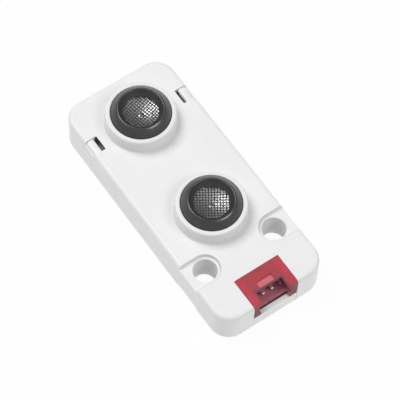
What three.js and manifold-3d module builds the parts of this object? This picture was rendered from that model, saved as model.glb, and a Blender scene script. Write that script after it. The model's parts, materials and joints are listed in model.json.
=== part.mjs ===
// Ultrasonic distance sensor in a white snap-fit case.
//
// Millimetres, +Z up. The origin is the centre of the case's back face, +Z is the direction
// in which the two transducers look, and +Y runs along the case away from its socket.
// A cover drops over a base plate that carries the circuit board. Two arms of the base plate
// rise inside the cover's side walls and hook over a sill in each of its two latch windows.

import * as THREE from 'three';
import Module from 'manifold-3d';
import { mergeVertices } from 'three/addons/utils/BufferGeometryUtils.js';

const wasm = await Module();
wasm.setup();

// Driving dimensions of the case.
const WIDTH = 24;
const LENGTH = 56;
const HEIGHT = 8;
const CORNER_RADIUS = 4.1;
const FRONT_FILLET = 0.85;
const BACK_FILLET = 0.35;
const WALL = 1.3;
const ROOF = 1.2;
const FIT_GAP = 0.1;

// Building-block holes: 4.8 mm bores two 8 mm grid steps apart, sunk 0.8 mm at both faces.
const GRID = 8;
const HOLE_X = GRID;
const HOLE_Y = -2 * GRID;
const HOLE_RADIUS = 2.4;
const HOLE_SINK_RADIUS = 3.1;
const HOLE_SINK_DEPTH = 0.8;
const SLEEVE_RADIUS = 3.7;
const SLEEVE_GAP = 0.02;

// Transducers: three grid steps apart on the centre line.
const TRANSMITTER_Y = 17.6;
const RECEIVER_Y = TRANSMITTER_Y - 3 * GRID;
const CAN_RADIUS = 5.95;
const CAN_BOTTOM = 3.2;
const CAN_TOP = 12.5;
const CAN_WALL = 0.5;
const LIP_RADIUS = 4.65;
const MOUTH_RADIUS = 3.5;
const MOUTH_TOP = 11.4;
const MESH_RADIUS = 4.0;
const MESH_SPAN = [11.0, 11.2];
const CONE_RADIUS = 3.75;
const CONE_SPAN = [9.65, 10.85];
const BENDER_RADIUS = 4.4;
const BENDER_SPAN = [9.35, 9.6];
const PIEZO_RADIUS = 2.7;
const PIEZO_SPAN = [9.0, 9.3];
const BASE_TOP = 5.0;
const BOSS_RADIUS = 7.2;
const BOSS_RIM_RADIUS = 7.0;
const BOSS_TOP = 11.1;

// Base plate and circuit board.
const PLATE_TOP = 1.3;
const BOARD_BOTTOM = 1.9;
const BOARD_TOP = 3.1;
const BOARD_INSET = WALL + 0.5;
const PART_GAP = 0.05;
const PEG_X = 7.5;
const PEG_Y = 23.7;
const PEG_RADIUS = 0.85;
const PEG_RISE = 0.4;
const RIB_LENGTH = 12;
const RIB_WIDTH = 0.8;

// Latches, measured outwards from the middle of the case.
const LATCH_Y = 17.8;
const LATCH_WINDOW_LENGTH = 3.4;
const LATCH_LENGTH = 3.1;
const LATCH_WINDOW_INNER = 9.25;
const LATCH_INNER = 10.0;
const LATCH_OUTER = 10.9;
const LATCH_HOOK = 11.6;
const LATCH_TOP = 7.75;
const LATCH_SILL = 6.95;
const LATCH_STRIP = 0.3;
const LATCH_STRIP_TOP = 7.3;
const LATCH_POCKET_INNER = 8.35;
const LATCH_POCKET_FLOOR = 5.6;
const LATCH_POCKET_LIP = 0.3;
const LATCH_POCKET_WALL = 0.3;
const LATCH_POCKET_OUTER = 9.4;

// Four-pin socket.
const SOCKET_HALF_WIDTH = 4.95;
const SOCKET_BACK = -21.35;
const SOCKET_MOUTH = -LENGTH / 2 + PART_GAP;
const SOCKET_TOP = 7.9;
const SOCKET_BOTTOM = BOARD_TOP + PART_GAP;
const SOCKET_PIN_PITCH = 2.0;
const SOCKET_PIN_COUNT = 4;
const SOCKET_PIN_SIZE = 0.5;
const SOCKET_PIN_HEIGHT = 5.1;
const SOCKET_PIN_TIP_Y = -25.4;
const SOCKET_TAIL_Y = -20.7;
const END_TAB_TOP = 3.4;
const END_TAB_THICKNESS = 0.95;

// The socket's cavity for a plug, the notch in its roof, the cut in its floor and the
// shallow recess in its roof.
const CAVITY_HALF_WIDTH = 3.85;
const CAVITY_BACK = -22.6;
const CAVITY_SPAN = [4.15, 7.1];
const NOTCH_HALF_WIDTH = 3.0;
const NOTCH_BACK = -25.2;
const FLOOR_HALF_WIDTH = 3.3;
const FLOOR_FRONT = -26.7;
const FLOOR_CUT_TOP = 4.6;
const RECESS_HALF_WIDTH = 1.7;
const RECESS_LENGTH = [-25.0, -23.6];
const RECESS_DEPTH = 0.3;

// Pins and tails end this far below the circuit board.
const TAIL_BOTTOM = BOARD_BOTTOM - 0.45;
const TRANSDUCER_PIN_OFFSET = 2.54;
const TRANSDUCER_PIN_RADIUS = 0.3;

// Components on the board: chips as [length, width], the others as [width, length, height].
const CONTROLLER_X = -4.4;
const CONTROLLER_SIZE = [9.9, 3.9];
const CONTROLLER_LEADS = 8;
const DRIVER_X = 5.6;
const DRIVER_SIZE = [4.9, 3.9];
const DRIVER_LEADS = 4;
const EDGE_PART_X = 8.2;
const CRYSTAL_SIZE = [2.5, 3.2, 0.8];
const REGULATOR_SIZE = [1.6, 2.9, 1.1];
const RESISTOR_SIZE = [1.6, 0.8, 0.45];
const CAPACITOR_SIZE = [1.6, 0.8, 0.8];
const SMALL_PART_ROWS = [14.2, 12.2, 10.2, 1.2, -0.8];

// Facets on round work.
const CORNER_STEPS = 6;
const FILLET_STEPS = 3;
const ROUND_STEPS = 40;
const COARSE_STEPS = 24;
const SMALL_STEPS = 12;

const plastic = { white: 0xf0f0ee, red: 0xc8303c, black: 0x1c1c1e, board: 0x14181a };

function material(color, roughness, metalness = 0) {
  return new THREE.MeshStandardMaterial({ color, roughness, metalness });
}

const whitePlastic = () => material(plastic.white, 0.45);
const redPlastic = () => material(plastic.red, 0.3);
const blackPlastic = () => material(plastic.black, 0.5);
const boardLaminate = () => material(plastic.board, 0.4);
const anodised = () => material(0x2a2b2d, 0.3, 0.8);
const brightMetal = () => material(0xd4d4d2, 0.25, 1);
const brass = () => material(0xc9a45a, 0.35, 1);
const ceramic = () => material(0x9a9488, 0.7);
const tan = () => material(0xb08d5e, 0.6);

// Turns a closed three.js geometry into a solid for joining and cutting.
function solid(geometry) {
  const bare = geometry.clone();
  bare.deleteAttribute('normal');
  bare.deleteAttribute('uv');
  const merged = mergeVertices(bare, 1e-5);
  const vertProperties = new Float32Array(merged.attributes.position.array);
  const triVerts = new Uint32Array(merged.index.array);
  return new wasm.Manifold(new wasm.Mesh({ numProp: 3, vertProperties, triVerts }));
}

function geometryOf(body) {
  const mesh = body.getMesh();
  const geometry = new THREE.BufferGeometry();
  geometry.setAttribute('position', new THREE.BufferAttribute(mesh.vertProperties, 3));
  geometry.setIndex(new THREE.BufferAttribute(mesh.triVerts, 1));
  geometry.computeVertexNormals();
  return geometry;
}

// A box given by its two limits along each axis, in either order.
function box([x0, x1], [y0, y1], [z0, z1]) {
  const geometry = new THREE.BoxGeometry(Math.abs(x1 - x0), Math.abs(y1 - y0), Math.abs(z1 - z0));
  geometry.translate((x0 + x1) / 2, (y0 + y1) / 2, (z0 + z1) / 2);
  return solid(geometry);
}

function cylinder([x, y], radius, [z0, z1], steps = ROUND_STEPS) {
  const geometry = new THREE.CylinderGeometry(radius, radius, z1 - z0, steps);
  geometry.rotateX(Math.PI / 2);
  geometry.translate(x, y, (z0 + z1) / 2);
  return solid(geometry);
}

function prism(shape, [z0, z1]) {
  const settings = { depth: z1 - z0, bevelEnabled: false, curveSegments: CORNER_STEPS };
  const geometry = new THREE.ExtrudeGeometry(shape, settings);
  geometry.translate(0, 0, z0);
  return solid(geometry);
}

// A prism whose top and bottom edges are rounded off.
function roundedPrism(shape, [z0, z1], fillet) {
  const geometry = new THREE.ExtrudeGeometry(shape, {
    depth: z1 - z0 - 2 * fillet,
    bevelThickness: fillet,
    bevelSize: fillet,
    bevelOffset: -fillet,
    bevelSegments: FILLET_STEPS,
    curveSegments: CORNER_STEPS,
  });
  geometry.translate(0, 0, z0 + fillet);
  return solid(geometry);
}

// A turned solid. The profile lists [radius, height] anticlockwise, with the axis on its left.
function turned([x, y], profile, steps = ROUND_STEPS) {
  const points = profile.map(([radius, height]) => new THREE.Vector2(radius, height));
  const geometry = new THREE.LatheGeometry(points, steps);
  geometry.rotateX(Math.PI / 2);
  geometry.translate(x, y, 0);
  return solid(geometry);
}

// A shape drawn in the YZ plane, as thick as the given limits along X.
function sidePrism(points, [x0, x1]) {
  const shape = new THREE.Shape(points.map(([y, z]) => new THREE.Vector2(y, z)));
  const geometry = new THREE.ExtrudeGeometry(shape, { depth: x1 - x0, bevelEnabled: false });
  const across = new THREE.Vector3(1, 0, 0);
  const along = new THREE.Vector3(0, 1, 0);
  const up = new THREE.Vector3(0, 0, 1);
  geometry.applyMatrix4(new THREE.Matrix4().makeBasis(along, up, across));
  geometry.translate(x0, 0, 0);
  return solid(geometry);
}

// A shape drawn in the XZ plane, as long as the given limits along Y.
function endPrism(points, [y0, y1]) {
  const shape = new THREE.Shape(points.map(([x, z]) => new THREE.Vector2(x, z)));
  const geometry = new THREE.ExtrudeGeometry(shape, { depth: y1 - y0, bevelEnabled: false });
  geometry.rotateX(Math.PI / 2);
  geometry.translate(0, y1, 0);
  return solid(geometry);
}

// Points on an arc about [cx, cy], for turned profiles.
function arc([cx, cy], radius, startDegrees, endDegrees, steps) {
  const points = [];
  for (let i = 0; i <= steps; i += 1) {
    const angle = THREE.MathUtils.degToRad(startDegrees + ((endDegrees - startDegrees) * i) / steps);
    points.push([cx + radius * Math.cos(angle), cy + radius * Math.sin(angle)]);
  }
  return points;
}

function roundedRectangle(width, length, radius) {
  const x = width / 2;
  const y = length / 2;
  const shape = new THREE.Shape();
  shape.moveTo(-x + radius, -y);
  shape.lineTo(x - radius, -y);
  shape.absarc(x - radius, -y + radius, radius, -Math.PI / 2, 0);
  shape.lineTo(x, y - radius);
  shape.absarc(x - radius, y - radius, radius, 0, Math.PI / 2);
  shape.lineTo(-x + radius, y);
  shape.absarc(-x + radius, y - radius, radius, Math.PI / 2, Math.PI);
  shape.lineTo(-x, -y + radius);
  shape.absarc(-x + radius, -y + radius, radius, Math.PI, 1.5 * Math.PI);
  return shape;
}

function caseOutline(inset) {
  return roundedRectangle(WIDTH - 2 * inset, LENGTH - 2 * inset, CORNER_RADIUS - inset);
}

// A round-ended slot about one building-block hole, running out through the side of the case.
function holeSlot(side, radius, reach) {
  const shape = new THREE.Shape();
  shape.moveTo(side * reach, HOLE_Y - radius);
  shape.lineTo(side * HOLE_X, HOLE_Y - radius);
  const start = -Math.PI / 2;
  shape.absarc(side * HOLE_X, HOLE_Y, radius, start, -start, side > 0);
  shape.lineTo(side * reach, HOLE_Y + radius);
  return shape;
}

const sides = [-1, 1];
const latchSpan = (length) => [LATCH_Y - length / 2, LATCH_Y + length / 2];

function socketPinXs() {
  const middle = (SOCKET_PIN_COUNT - 1) / 2;
  return Array.from({ length: SOCKET_PIN_COUNT }, (_, i) => (i - middle) * SOCKET_PIN_PITCH);
}

// ---- Case ----

// The case's outer form, solid, with its edges rounded front and back.
function caseBlock() {
  const front = roundedPrism(caseOutline(0), [-HEIGHT, HEIGHT], FRONT_FILLET);
  return front.intersect(roundedPrism(caseOutline(0), [0, 2 * HEIGHT], BACK_FILLET));
}

function transducerBoss(y) {
  const foot = 0.35;
  const rim = 0.4;
  const footArc = arc([BOSS_RADIUS + foot, HEIGHT + foot], foot, 270, 180, 3);
  const rimArc = arc([BOSS_RIM_RADIUS - rim, BOSS_TOP - rim], rim, 0, 90, 3);
  const buried = HEIGHT - ROOF / 2;
  const base = [[0, buried], [BOSS_RADIUS + foot, buried]];
  return turned([0, y], [...base, ...footArc, ...rimArc, [0, BOSS_TOP]]);
}

// The hole the can stands in, with its edge broken at the rim.
function transducerBore(y) {
  const bore = CAN_RADIUS + FIT_GAP;
  const edge = 0.15;
  return turned([0, y], [
    [0, HEIGHT - 2 * ROOF],
    [bore, HEIGHT - 2 * ROOF],
    [bore, BOSS_TOP - edge],
    [bore + 2 * edge, BOSS_TOP + edge],
    [0, BOSS_TOP + edge],
  ]);
}

// The side-open slot in the shell that one bored sleeve fills.
function sleeveSlot(side) {
  return prism(holeSlot(side, SLEEVE_RADIUS, WIDTH / 2 + 1), [-1, HEIGHT + 1]);
}

// The bored block of one building-block hole, sunk at both faces by slots open to the side.
// It is moulded in one with the shell.
function holeSleeve(side) {
  const block = prism(holeSlot(side, SLEEVE_RADIUS - SLEEVE_GAP, WIDTH / 2), [0, HEIGHT]);
  const sink = holeSlot(side, HOLE_SINK_RADIUS, WIDTH / 2 + 1);
  return block
    .subtract(cylinder([side * HOLE_X, HOLE_Y], HOLE_RADIUS, [-1, HEIGHT + 1]))
    .subtract(prism(sink, [HEIGHT - HOLE_SINK_DEPTH, HEIGHT + 1]))
    .subtract(prism(sink, [-1, HOLE_SINK_DEPTH]))
    .intersect(caseBlock());
}

// The small closed pocket that hangs under the roof behind one latch window.
function latchPocket(side) {
  const inner = side * (LATCH_POCKET_INNER - LATCH_POCKET_WALL);
  const outer = side * LATCH_POCKET_OUTER;
  const along = latchSpan(LATCH_WINDOW_LENGTH + 2 * LATCH_POCKET_WALL);
  return box([inner, outer], along, [LATCH_POCKET_FLOOR - LATCH_POCKET_WALL, HEIGHT - ROOF / 2]);
}

// The window for one latch: a flexing gap behind the arm, a pocket for the hook, a hollow under
// the window's inner edge and a slot down the inside of the wall for the arm.
function latchWindow(side) {
  const span = latchSpan(LATCH_WINDOW_LENGTH);
  const armFace = side * (LATCH_OUTER + FIT_GAP);
  const stripFace = side * (WIDTH / 2 - LATCH_STRIP);
  const beyond = side * (WIDTH / 2 + 1);
  const gap = box([side * LATCH_WINDOW_INNER, armFace], span, [LATCH_POCKET_FLOOR, HEIGHT + 1]);
  const hollowAcross = [side * LATCH_POCKET_INNER, side * LATCH_INNER];
  const hollow = box(hollowAcross, span, [LATCH_POCKET_FLOOR, HEIGHT - LATCH_POCKET_LIP]);
  const hookPocket = box([side * LATCH_INNER, stripFace], span, [LATCH_SILL, HEIGHT + 1]);
  const stripCut = box([side * LATCH_INNER, beyond], span, [LATCH_STRIP_TOP, HEIGHT + 1]);
  const armSlot = box([side * LATCH_INNER, armFace], span, [-1, HEIGHT - ROOF]);
  return gap.add(hollow).add(hookPocket).add(stripCut).add(armSlot);
}

// The opening for the socket. It runs down through the end wall, so that the cover lifts clear.
function socketOpening() {
  const halfWidth = SOCKET_HALF_WIDTH + FIT_GAP;
  const back = SOCKET_BACK + 1.5 * FIT_GAP;
  return box([-halfWidth, halfWidth], [-LENGTH / 2 - 1, back], [-1, HEIGHT + 1]);
}

function topShell() {
  let shell = caseBlock().subtract(prism(caseOutline(WALL), [-1, HEIGHT - ROOF]));
  for (const y of [TRANSMITTER_Y, RECEIVER_Y]) {
    shell = shell.add(transducerBoss(y)).subtract(transducerBore(y));
  }
  for (const side of sides) {
    shell = shell
      .subtract(sleeveSlot(side))
      .add(latchPocket(side))
      .subtract(latchWindow(side));
  }
  return shell.subtract(socketOpening());
}

// A stepped post that carries the circuit board and locates it with a peg.
function boardPost(x, y) {
  const seatSpan = [PLATE_TOP / 2, BOARD_BOTTOM - PART_GAP];
  const pegSpan = [PLATE_TOP / 2, BOARD_TOP + PEG_RISE];
  const seat = cylinder([x, y], 2 * PEG_RADIUS, seatSpan, COARSE_STEPS);
  return seat.add(cylinder([x, y], PEG_RADIUS, pegSpan, COARSE_STEPS));
}

// A rib across the plate that stops the board bowing.
function boardRib(y) {
  const across = [-RIB_LENGTH / 2, RIB_LENGTH / 2];
  const along = [y - RIB_WIDTH / 2, y + RIB_WIDTH / 2];
  return box(across, along, [PLATE_TOP / 2, BOARD_BOTTOM - PART_GAP]);
}

// The thin upright tab that closes the end wall below the socket, on a foot of the plate.
function endTab() {
  const end = -LENGTH / 2;
  const halfWidth = SOCKET_HALF_WIDTH + FIT_GAP / 2;
  const across = [-halfWidth, halfWidth];
  return box(across, [end, end + END_TAB_THICKNESS], [0, END_TAB_TOP])
    .add(box(across, [end, end + 2 * WALL], [0, PLATE_TOP]))
    .intersect(caseBlock());
}

function bottomShell() {
  let plate = prism(caseOutline(WALL + FIT_GAP), [0, PLATE_TOP]).add(endTab());
  for (const side of sides) {
    const root = [side * (WIDTH / 2 - WALL - 1), side * LATCH_OUTER];
    plate = plate
      .add(box(root, latchSpan(LATCH_LENGTH), [0, PLATE_TOP]))
      .subtract(prism(holeSlot(side, SLEEVE_RADIUS + FIT_GAP, WIDTH / 2), [-1, PLATE_TOP + 1]));
    for (const end of sides) {
      plate = plate.add(boardPost(side * PEG_X, end * PEG_Y));
    }
  }
  const farRib = (TRANSMITTER_Y + RECEIVER_Y) / 2;
  const nearRib = (RECEIVER_Y + HOLE_Y) / 2;
  return plate.add(boardRib(farRib)).add(boardRib(nearRib));
}

// One latch: an arm with an outward hook whose top slopes so that the cover can press it in.
function latch(side) {
  const root = PLATE_TOP + FIT_GAP;
  const hookBottom = LATCH_SILL + PART_GAP;
  const profile = [
    [LATCH_INNER, root],
    [LATCH_OUTER, root],
    [LATCH_OUTER, hookBottom],
    [LATCH_HOOK, hookBottom],
    ...arc([LATCH_HOOK - 0.5, LATCH_TOP - 0.5], 0.5, 0, 90, 4),
    [LATCH_INNER, LATCH_TOP],
  ];
  const placed = profile.map(([x, z]) => [side * x, z]);
  return endPrism(placed, latchSpan(LATCH_LENGTH));
}

// ---- Circuit board ----

function circuitBoard() {
  const through = [BOARD_BOTTOM - 1, BOARD_TOP + 1];
  let board = prism(caseOutline(BOARD_INSET), [BOARD_BOTTOM, BOARD_TOP]);
  for (const side of sides) {
    const latchCut = [side * (LATCH_INNER - 0.5), side * WIDTH / 2];
    board = board
      .subtract(prism(holeSlot(side, SLEEVE_RADIUS + 2 * FIT_GAP, WIDTH / 2), through))
      .subtract(box(latchCut, latchSpan(LATCH_LENGTH + 0.6), through));
    for (const end of sides) {
      const peg = [side * PEG_X, end * PEG_Y];
      board = board.subtract(cylinder(peg, PEG_RADIUS + FIT_GAP, through, COARSE_STEPS));
    }
    for (const y of [TRANSMITTER_Y, RECEIVER_Y]) {
      const pin = [side * TRANSDUCER_PIN_OFFSET, y];
      const hole = TRANSDUCER_PIN_RADIUS + FIT_GAP;
      board = board.subtract(cylinder(pin, hole, through, SMALL_STEPS));
    }
  }
  for (const x of socketPinXs()) {
    board = board.subtract(cylinder([x, SOCKET_TAIL_Y], SOCKET_PIN_SIZE, through, SMALL_STEPS));
  }
  return board;
}

// ---- Transducers ----

// The can: a thin tube with a slightly convex conical shoulder, which ends in a raised lip
// around a funnel. The mesh lies under the funnel's mouth.
function transducerCan(y) {
  const shoulderFoot = BOSS_TOP;
  const bulge = 0.04;
  const lipFlat = 0.15;
  const mouthEdge = 0.05;
  const mouthThickness = 0.15;
  const shoulderThickness = 0.75;
  const inside = CAN_RADIUS - CAN_WALL;
  const underside = MOUTH_TOP - mouthThickness;
  const shoulder = [0, 0.25, 0.5, 0.75, 1].map((t) => {
    const swell = 4 * bulge * t * (1 - t);
    const radius = CAN_RADIUS + (LIP_RADIUS - CAN_RADIUS) * t + swell;
    return [radius, shoulderFoot + (CAN_TOP - shoulderFoot) * t + swell];
  });
  return turned([0, y], [
    [inside, CAN_BOTTOM],
    [CAN_RADIUS, CAN_BOTTOM],
    ...shoulder,
    [LIP_RADIUS - lipFlat, CAN_TOP],
    [MOUTH_RADIUS + mouthEdge, MOUTH_TOP],
    [MOUTH_RADIUS, MOUTH_TOP - mouthEdge],
    [MOUTH_RADIUS, underside],
    [BENDER_RADIUS, underside],
    [inside, BOSS_TOP - shoulderThickness],
    [inside, CAN_BOTTOM],
  ]);
}

function transducerMesh(y) {
  return cylinder([0, y], MESH_RADIUS, MESH_SPAN);
}

// The shallow sheet-metal cone that couples the vibrating plate to the air.
function transducerCone(y) {
  const [foot, rim] = CONE_SPAN;
  const footRadius = 0.7;
  const skin = 0.2;
  return turned([0, y], [
    [0, foot],
    [footRadius, foot],
    [CONE_RADIUS, rim - skin],
    [CONE_RADIUS, rim],
    [footRadius, foot + skin],
    [0, foot + skin],
  ], COARSE_STEPS);
}

function benderPlate(y) {
  return cylinder([0, y], BENDER_RADIUS, BENDER_SPAN, COARSE_STEPS);
}

function piezoDisc(y) {
  return cylinder([0, y], PIEZO_RADIUS, PIEZO_SPAN, COARSE_STEPS);
}

// The moulded base, with the ring that carries the vibrating plate.
function transducerBase(y) {
  const radius = CAN_RADIUS - CAN_WALL - PART_GAP;
  const ringTop = BENDER_SPAN[0] - PART_GAP;
  const ringInside = PIEZO_RADIUS + 2 * FIT_GAP;
  const ringWall = 0.5;
  const overlap = 0.5;
  const disc = cylinder([0, y], radius, [CAN_BOTTOM + FIT_GAP, BASE_TOP], COARSE_STEPS);
  const ringSpan = [BASE_TOP - overlap, ringTop];
  const ring = cylinder([0, y], ringInside + ringWall, ringSpan, COARSE_STEPS);
  return disc.add(ring).subtract(cylinder([0, y], ringInside, [BASE_TOP, CAN_TOP], COARSE_STEPS));
}

function transducerPin(side, y) {
  const span = [TAIL_BOTTOM, CAN_BOTTOM + PART_GAP];
  return cylinder([side * TRANSDUCER_PIN_OFFSET, y], TRANSDUCER_PIN_RADIUS, span, SMALL_STEPS);
}

// ---- Socket ----

function socketHousing() {
  const halfWidth = SOCKET_HALF_WIDTH;
  const beyond = SOCKET_MOUTH - 1;
  const across = (half) => [-half, half];
  const above = HEIGHT + 1;
  const underRoof = CAVITY_SPAN[1] - FIT_GAP;
  const length = [SOCKET_MOUTH, SOCKET_BACK];
  const overTab = [-LENGTH / 2 + END_TAB_THICKNESS + PART_GAP, beyond];
  const recessFloor = SOCKET_TOP - RECESS_DEPTH;
  let housing = box(across(halfWidth), length, [SOCKET_BOTTOM, SOCKET_TOP])
    .subtract(box(across(CAVITY_HALF_WIDTH), [beyond, CAVITY_BACK], CAVITY_SPAN))
    .subtract(box(across(NOTCH_HALF_WIDTH), [beyond, NOTCH_BACK], [underRoof, above]))
    .subtract(box(across(FLOOR_HALF_WIDTH), [beyond, FLOOR_FRONT], [BOARD_TOP, FLOOR_CUT_TOP]))
    .subtract(box(across(WIDTH / 2), overTab, [BOARD_TOP, END_TAB_TOP + PART_GAP]))
    .subtract(box(across(RECESS_HALF_WIDTH), RECESS_LENGTH, [recessFloor, above]));
  const hole = SOCKET_PIN_SIZE / 2 + PART_GAP;
  for (const x of socketPinXs()) {
    const height = [SOCKET_PIN_HEIGHT - hole, SOCKET_PIN_HEIGHT + hole];
    const through = [CAVITY_BACK - FIT_GAP, SOCKET_BACK + FIT_GAP];
    housing = housing.subtract(box([x - hole, x + hole], through, height));
  }
  return housing;
}

// A square pin that leaves the back of the housing and turns down through the board.
function socketPin(x) {
  const half = SOCKET_PIN_SIZE / 2;
  const top = SOCKET_PIN_HEIGHT + half;
  const bottom = SOCKET_PIN_HEIGHT - half;
  const outer = SOCKET_TAIL_Y + half;
  const inner = SOCKET_TAIL_Y - half;
  const taper = 0.15;
  const profile = [
    [SOCKET_PIN_TIP_Y, bottom + taper],
    [SOCKET_PIN_TIP_Y + 2 * taper, bottom],
    [inner, bottom],
    [inner, TAIL_BOTTOM],
    [outer, TAIL_BOTTOM],
    [outer, top - half],
    [outer - half, top],
    [SOCKET_PIN_TIP_Y + 2 * taper, top],
    [SOCKET_PIN_TIP_Y, top - taper],
  ];
  return sidePrism(profile, [x - half, x + half]);
}

// ---- Components on the board ----

const PART_BASE = BOARD_TOP + PART_GAP;

// A chip with gull-wing leads along its two long sides.
function chip([x, y], [length, width], leadsPerSide) {
  const pitch = 1.27;
  const leadReach = 1.05;
  const leadWidth = 0.4;
  const leadThickness = 0.2;
  const bodySpan = [PART_BASE + 0.1, PART_BASE + 1.5];
  const middle = PART_BASE + 0.8;
  let body = box([x - length / 2, x + length / 2], [y - width / 2, y + width / 2], bodySpan);
  for (let i = 0; i < leadsPerSide; i += 1) {
    const leadX = x + (i - (leadsPerSide - 1) / 2) * pitch;
    const across = [leadX - leadWidth / 2, leadX + leadWidth / 2];
    for (const side of sides) {
      const root = y + side * (width / 2 - 0.2);
      const knee = y + side * (width / 2 + 0.35);
      const toe = y + side * (width / 2 + leadReach);
      const heel = knee - side * leadThickness;
      body = body
        .add(box(across, [root, knee], [middle - leadThickness, middle]))
        .add(box(across, [heel, knee], [PART_BASE, middle]))
        .add(box(across, [heel, toe], [PART_BASE, PART_BASE + leadThickness]));
    }
  }
  return body;
}

function chipComponent([x, y], [width, length, height]) {
  const across = [x - width / 2, x + width / 2];
  const along = [y - length / 2, y + length / 2];
  return box(across, along, [PART_BASE, PART_BASE + height]);
}

// ---- Assembly ----

const sensor = new THREE.Group();

function add(name, body, look) {
  const mesh = new THREE.Mesh(geometryOf(body), look);
  mesh.name = name;
  sensor.add(mesh);
}

function addCase() {
  add('top_shell', topShell(), whitePlastic());
  add('hole_sleeve_left', holeSleeve(-1), whitePlastic());
  add('hole_sleeve_right', holeSleeve(1), whitePlastic());
  add('bottom_shell', bottomShell(), whitePlastic());
  add('latch_left', latch(-1), whitePlastic());
  add('latch_right', latch(1), whitePlastic());
}

function addTransducer(name, y) {
  add(`${name}_can`, transducerCan(y), anodised());
  add(`${name}_mesh`, transducerMesh(y), blackPlastic());
  add(`${name}_cone`, transducerCone(y), brightMetal());
  add(`${name}_bender_plate`, benderPlate(y), brass());
  add(`${name}_piezo_disc`, piezoDisc(y), ceramic());
  add(`${name}_base`, transducerBase(y), blackPlastic());
  add(`${name}_pin_left`, transducerPin(-1, y), brightMetal());
  add(`${name}_pin_right`, transducerPin(1, y), brightMetal());
}

function addSocket() {
  add('socket_housing', socketHousing(), redPlastic());
  socketPinXs().forEach((x, i) => {
    add(`socket_pin_${i + 1}`, socketPin(x), brightMetal());
  });
}

function addBoard() {
  add('circuit_board', circuitBoard(), boardLaminate());
  const chipRow = (TRANSMITTER_Y + RECEIVER_Y) / 2;
  const controller = chip([CONTROLLER_X, chipRow], CONTROLLER_SIZE, CONTROLLER_LEADS);
  const driver = chip([DRIVER_X, chipRow], DRIVER_SIZE, DRIVER_LEADS);
  add('ranging_controller', controller, blackPlastic());
  add('transducer_driver', driver, blackPlastic());
  const left = -EDGE_PART_X;
  const right = EDGE_PART_X;
  add('crystal', chipComponent([left, RECEIVER_Y], CRYSTAL_SIZE), brightMetal());
  add('voltage_regulator', chipComponent([right, RECEIVER_Y], REGULATOR_SIZE), blackPlastic());
  SMALL_PART_ROWS.forEach((y, i) => {
    add(`resistor_${i + 1}`, chipComponent([left, y], RESISTOR_SIZE), blackPlastic());
    add(`capacitor_${i + 1}`, chipComponent([right, y], CAPACITOR_SIZE), tan());
  });
}

addCase();
addBoard();
addTransducer('transmitter', TRANSMITTER_Y);
addTransducer('receiver', RECEIVER_Y);
addSocket();

export default sensor;
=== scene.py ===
"""Looks of the ultrasonic distance sensor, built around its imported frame.

Shapes are drawn in millimetres and turned into metres when a piece is finished. Where a shape
meets the CAD model, its place comes from the frame.
"""

import json
import math

import bmesh
import bpy
from mathutils import Matrix, Vector


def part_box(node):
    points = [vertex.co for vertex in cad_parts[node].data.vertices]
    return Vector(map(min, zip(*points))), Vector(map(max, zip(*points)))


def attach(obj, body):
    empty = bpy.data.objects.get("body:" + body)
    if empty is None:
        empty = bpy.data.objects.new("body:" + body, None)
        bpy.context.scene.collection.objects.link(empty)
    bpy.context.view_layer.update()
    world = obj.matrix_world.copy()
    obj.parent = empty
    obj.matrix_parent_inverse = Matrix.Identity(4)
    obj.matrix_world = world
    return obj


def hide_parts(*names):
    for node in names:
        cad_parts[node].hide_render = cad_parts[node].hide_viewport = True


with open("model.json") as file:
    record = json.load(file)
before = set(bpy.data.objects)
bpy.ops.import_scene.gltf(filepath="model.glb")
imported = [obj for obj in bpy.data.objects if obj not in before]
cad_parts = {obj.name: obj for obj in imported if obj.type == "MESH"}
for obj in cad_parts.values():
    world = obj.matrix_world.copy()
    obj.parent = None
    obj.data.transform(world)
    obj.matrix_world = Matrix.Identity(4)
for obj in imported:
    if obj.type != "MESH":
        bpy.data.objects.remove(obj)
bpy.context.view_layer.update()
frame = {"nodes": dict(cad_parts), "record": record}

MM = 0.001
SIDES = (-1, 1)


# ---- Sizes read from the frame ----

def node_box(name):
    """Lowest and highest corner of a CAD node, in millimetres."""
    low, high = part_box(name)
    return low / MM, high / MM


def node_middle(name):
    low, high = node_box(name)
    return (low + high) / 2


mounts = {mount["name"]: Vector(mount["pos_m"]) / MM for mount in frame["record"]["mounts"]}

HALF_WIDTH = node_box("top_shell")[1].x
HALF_LENGTH = node_box("top_shell")[1].y
BOSS_TOP = node_box("top_shell")[1].z
FRONT = mounts["front_face"].z
HOLE_Y = node_middle("hole_sleeve_right").y
SLEEVE_RADIUS = node_box("hole_sleeve_right")[1].y - HOLE_Y
HOLE_X = node_box("hole_sleeve_right")[0].x + SLEEVE_RADIUS
SINK_FRONT = mounts["right_hole_front_seat"].z
SINK_BACK = mounts["right_hole_rear_seat"].z
TRANSDUCERS = {name: node_middle(f"{name}_can").y for name in ("transmitter", "receiver")}
CAN_RADIUS = node_box("transmitter_can")[1].x
CAN_BOTTOM = node_box("transmitter_can")[0].z
CAN_TOP = node_box("transmitter_can")[1].z
SOCKET_LOW, SOCKET_HIGH = node_box("socket_housing")
LATCH_LOW, LATCH_HIGH = node_box("latch_right")
LATCH_Y = node_middle("latch_right").y
BOARD_TOP = node_box("circuit_board")[1].z

# Sizes that the frame's boxes don't give.
CORNER_RADIUS = 4.1
FRONT_FILLET = 0.85
BACK_FILLET = 0.35
WALL = 1.3
ROOF = 1.2
HOLE_RADIUS = 2.4
BORE_LIP = 0.03
SINK_RADIUS = 3.0
BOSS_RADIUS = 7.2
BOSS_RIM_RADIUS = 7.0
FIT_GAP = 0.1

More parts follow.
